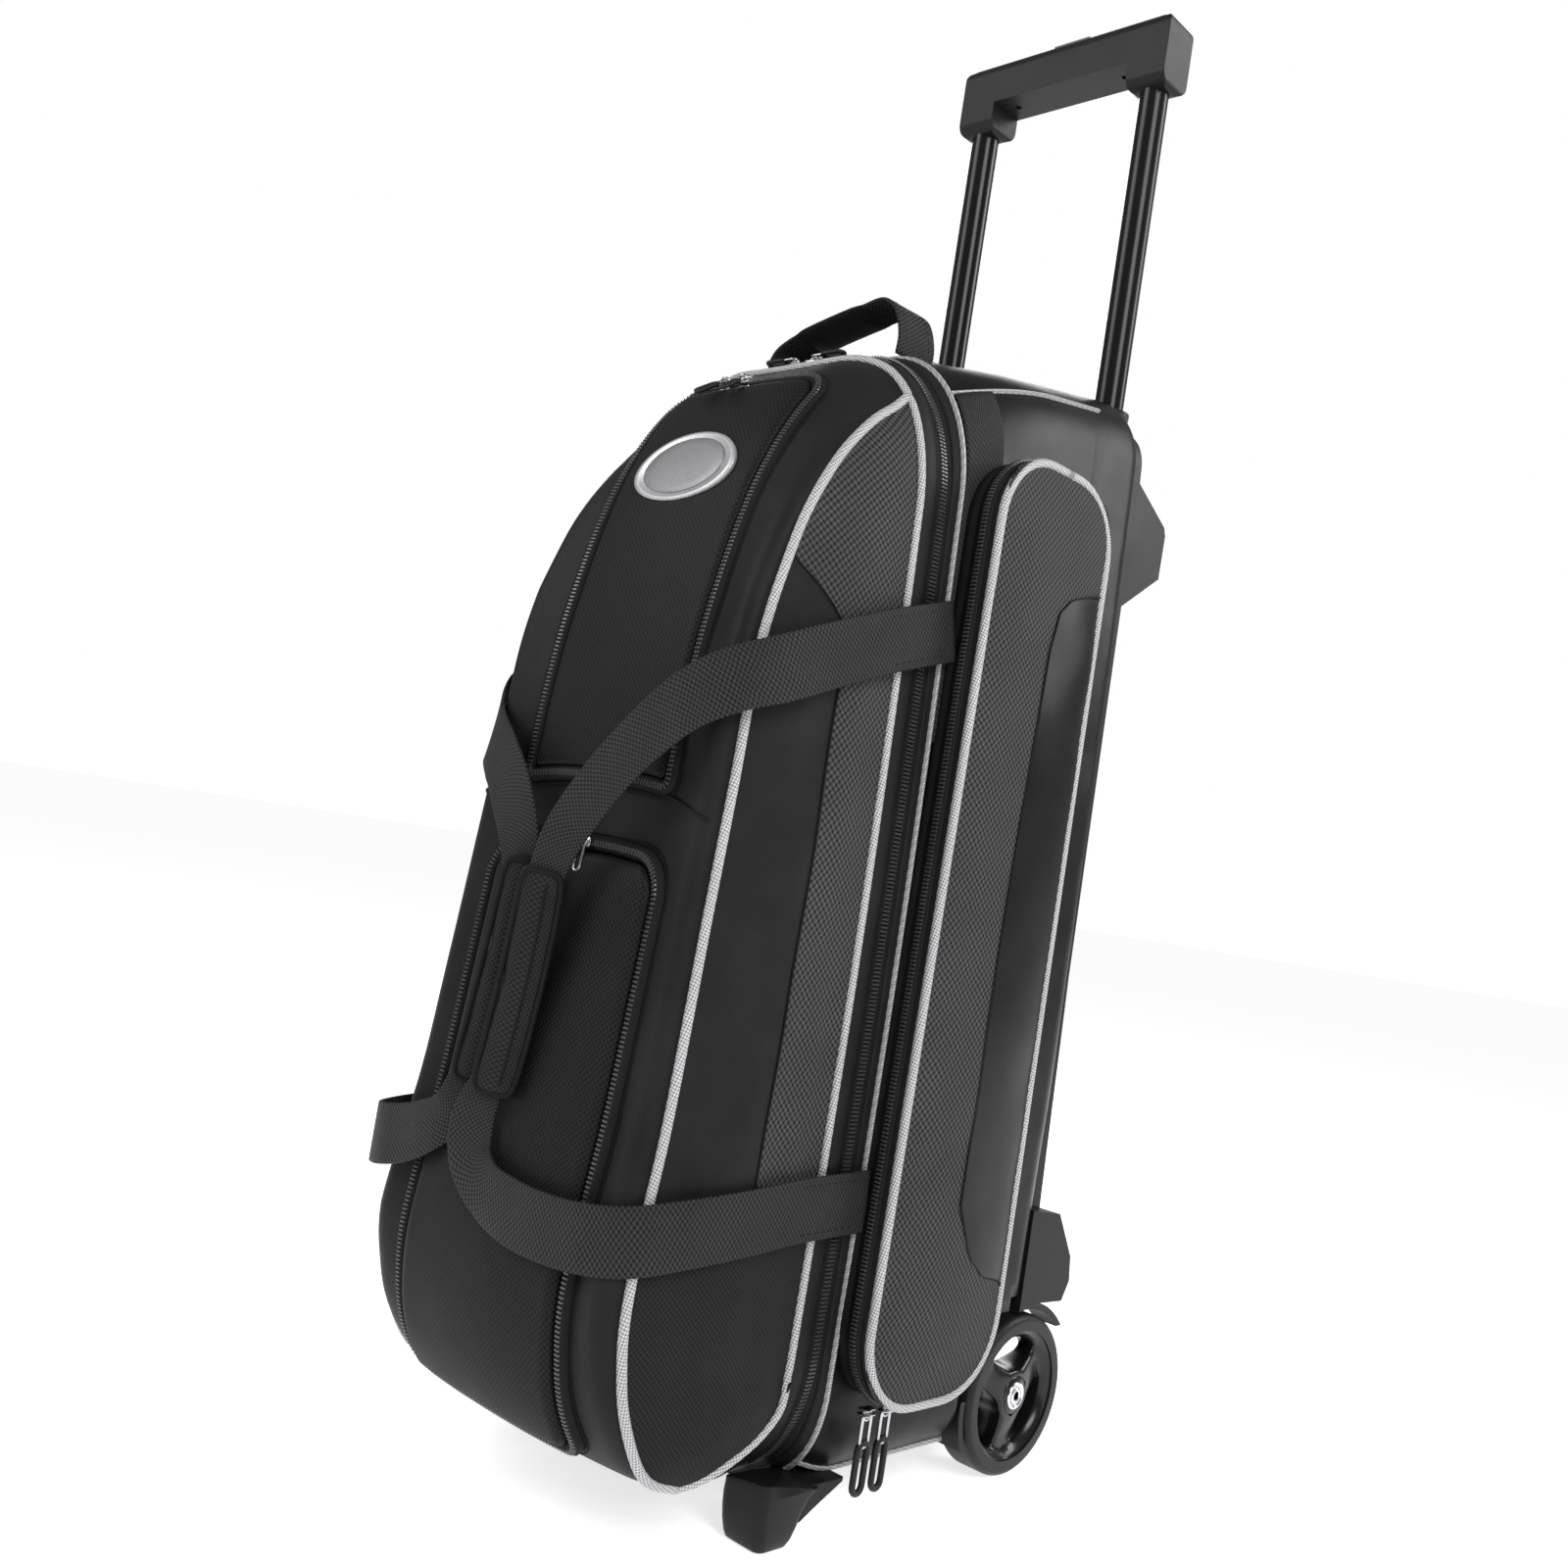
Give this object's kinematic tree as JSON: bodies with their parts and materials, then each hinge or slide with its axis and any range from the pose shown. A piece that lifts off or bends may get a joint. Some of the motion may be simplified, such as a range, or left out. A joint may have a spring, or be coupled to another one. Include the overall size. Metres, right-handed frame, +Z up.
{
  "type": "bowling ball bag",
  "caption": "Upright wheeled bag for bowling balls with a deep front lid, side pockets, carry straps and a telescopic pull handle.",
  "frame": {"origin": "on the floor under the middle of the bag", "axes": "+Z up along the handle rods, +Y towards the back where the wheels and the pull handle are, X across the bag"},
  "size_m": [0.3088, 0.4544, 1.083],
  "materials": {
    "rear_shell": "woven",
    "shell_piping": "woven",
    "body_zip_tape": "woven",
    "stiffener_boards": "fine texture",
    "ball_cradle": "matt",
    "back_frame": "fine texture",
    "frame_screws": "zinc plated",
    "base_tray": "fine texture",
    "front_feet": "fine texture",
    "wheel_guards": "fine texture",
    "axles": "zinc plated",
    "rail_tubes": "anodised",
    "rail_end_plugs": "fine texture",
    "rod_bezels": "fine texture",
    "pocket_gusset": "woven",
    "pocket_sliders": "polished",
    "lid_shell": "woven",
    "lid_piping": "woven",
    "lid_zip_tape": "woven",
    "lid_divider": "woven",
    "accessory_pocket": "woven",
    "accessory_zip": "woven",
    "accessory_sliders": "polished",
    "accessory_pulls": "polished",
    "shoe_pocket": "woven",
    "shoe_zip": "woven",
    "shoe_sliders": "polished",
    "shoe_pulls": "polished",
    "badge": "fine texture",
    "main_slider": "polished",
    "main_pull": "polished",
    "pocket_cover": "woven",
    "pocket_piping": "woven",
    "pocket_pulls": "matt",
    "strap": "woven",
    "grip_pad": "woven",
    "top_handle": "woven",
    "tyre": "matt",
    "wheel_core": "fine texture",
    "wheel_bearings": "zinc plated",
    "hub_cap": "polished",
    "handle_rods": "satin black",
    "rod_bushings": "fine texture",
    "grip_lower": "fine texture",
    "grip_upper": "fine texture",
    "release_button": "fine texture",
    "button_spring": "zinc plated"
  },
  "bodies": {
    "bag": {"rear_shell": "rear_shell", "shell_piping": "shell_piping", "body_zip_tape": "body_zip_tape", "stiffener_boards": "stiffener_boards", "ball_cradle": "ball_cradle", "back_frame": "back_frame", "frame_screws": "frame_screws", "base_tray": "base_tray", "front_feet": "front_feet", "wheel_guards": "wheel_guards", "axles": "axles", "rail_tubes": "rail_tubes", "rail_end_plugs": "rail_end_plugs", "rod_bezels": "rod_bezels", "pocket_gusset_left": "pocket_gusset", "pocket_gusset_right": "pocket_gusset", "pocket_sliders": "pocket_sliders"},
    "lid": {"lid_shell": "lid_shell", "lid_piping": "lid_piping", "lid_zip_tape": "lid_zip_tape", "lid_divider": "lid_divider", "accessory_pocket": "accessory_pocket", "accessory_zip": "accessory_zip", "accessory_sliders": "accessory_sliders", "shoe_pocket": "shoe_pocket", "shoe_zip": "shoe_zip", "shoe_sliders": "shoe_sliders", "badge": "badge"},
    "accessory_pulls": {"accessory_pulls": "accessory_pulls"},
    "shoe_pulls": {"shoe_pulls": "shoe_pulls"},
    "main_slider_left": {"main_slider_left": "main_slider"},
    "main_slider_right": {"main_slider_right": "main_slider"},
    "main_pull_left": {"main_pull_left": "main_pull"},
    "main_pull_right": {"main_pull_right": "main_pull"},
    "strap_left": {"strap_left": "strap", "grip_pad_left": "grip_pad"},
    "strap_right": {"strap_right": "strap", "grip_pad_right": "grip_pad"},
    "top_handle": {"top_handle": "top_handle"},
    "pocket_lid_left": {"pocket_cover_left": "pocket_cover", "pocket_piping_left": "pocket_piping"},
    "pocket_lid_right": {"pocket_cover_right": "pocket_cover", "pocket_piping_right": "pocket_piping"},
    "pocket_pulls_left": {"pocket_pulls_left": "pocket_pulls"},
    "pocket_pulls_right": {"pocket_pulls_right": "pocket_pulls"},
    "wheel_left": {"tyre_left": "tyre", "wheel_core_left": "wheel_core", "wheel_bearings_left": "wheel_bearings", "hub_cap_left": "hub_cap"},
    "wheel_right": {"tyre_right": "tyre", "wheel_core_right": "wheel_core", "wheel_bearings_right": "wheel_bearings", "hub_cap_right": "hub_cap"},
    "pull_handle": {"handle_rods": "handle_rods", "rod_bushings": "rod_bushings", "grip_lower": "grip_lower", "grip_upper": "grip_upper", "button_spring": "button_spring"},
    "release_button": {"release_button": "release_button"}
  },
  "joints": [
    {"name": "handle_slide", "type": "slide", "parent": "bag", "child": "pull_handle", "axis": [0, 0, 1], "range_m": [-0.248, 0]},
    {"name": "button_press", "type": "slide", "parent": "pull_handle", "child": "release_button", "axis": [0, 0, -1], "range_m": [0, 0.004], "stiffness_N_per_m": 900, "springref_m": -0.002, "deforming": ["button_spring"]},
    {"name": "lid_swing", "type": "hinge", "parent": "bag", "child": "lid", "pos_m": [-0.13, -0.0645, 0.38], "axis": [0, 0, 1], "range_deg": [-50, 0]},
    {"name": "strap_swing_left", "type": "hinge", "parent": "bag", "child": "strap_left", "pos_m": [-0.1318, -0.0515, 0.38], "axis": [0, 0, 1], "range_deg": [-55, 0]},
    {"name": "strap_swing_right", "type": "hinge", "parent": "bag", "child": "strap_right", "pos_m": [0.1318, -0.0515, 0.38], "axis": [0, 0, 1], "range_deg": [0, 80]},
    {"name": "top_handle_swing", "type": "hinge", "parent": "bag", "child": "top_handle", "pos_m": [0, -0.03, 0.765], "axis": [1, 0, 0], "range_deg": [-35, 35]},
    {"name": "pocket_swing_left", "type": "hinge", "parent": "bag", "child": "pocket_lid_left", "pos_m": [-0.1498, 0.087, 0.376], "axis": [0, 0, 1], "range_deg": [-95, 0]},
    {"name": "pocket_swing_right", "type": "hinge", "parent": "bag", "child": "pocket_lid_right", "pos_m": [0.1498, 0.087, 0.376], "axis": [0, 0, 1], "range_deg": [0, 95]},
    {"name": "wheel_spin_left", "type": "hinge", "parent": "bag", "child": "wheel_left", "pos_m": [-0.111, 0.1605, 0.056], "axis": [1, 0, 0], "continuous": true},
    {"name": "wheel_spin_right", "type": "hinge", "parent": "bag", "child": "wheel_right", "pos_m": [0.111, 0.1605, 0.056], "axis": [1, 0, 0], "continuous": true},
    {"name": "main_zip_left", "type": "slide", "parent": "bag", "child": "main_slider_left", "axis": [1, 0, 0], "range_m": [-0.045, 0]},
    {"name": "main_zip_right", "type": "slide", "parent": "bag", "child": "main_slider_right", "axis": [1, 0, 0], "range_m": [0, 0.08]},
    {"name": "main_pull_swing_left", "type": "hinge", "parent": "main_slider_left", "child": "main_pull_left", "pos_m": [-0.028, -0.064, 0.745], "axis": [0, 1, 0], "range_deg": [0, 170]},
    {"name": "main_pull_swing_right", "type": "hinge", "parent": "main_slider_right", "child": "main_pull_right", "pos_m": [-0.01, -0.064, 0.745], "axis": [0, 1, 0], "range_deg": [-170, 0]},
    {"name": "accessory_pull_swing", "type": "hinge", "parent": "lid", "child": "accessory_pulls", "pos_m": [0, -0.11986, 0.71636], "axis": [1, 0, 0], "range_deg": [-120, 0]},
    {"name": "shoe_pull_swing", "type": "hinge", "parent": "lid", "child": "shoe_pulls", "pos_m": [0, -0.2076, 0.396], "axis": [1, 0, 0], "range_deg": [-25, 0]},
    {"name": "pocket_pull_swing_left", "type": "hinge", "parent": "bag", "child": "pocket_pulls_left", "pos_m": [-0.139, -0.016, 0.0756], "axis": [0, 1, 0], "range_deg": [0, 60]},
    {"name": "pocket_pull_swing_right", "type": "hinge", "parent": "bag", "child": "pocket_pulls_right", "pos_m": [0.139, -0.016, 0.0756], "axis": [0, 1, 0], "range_deg": [-60, 0]}
  ],
  "couplings": [
    {"joint": "strap_swing_left", "follows": "lid_swing", "ratio": 1.1},
    {"joint": "strap_swing_right", "follows": "lid_swing", "ratio": -1.6}
  ]
}
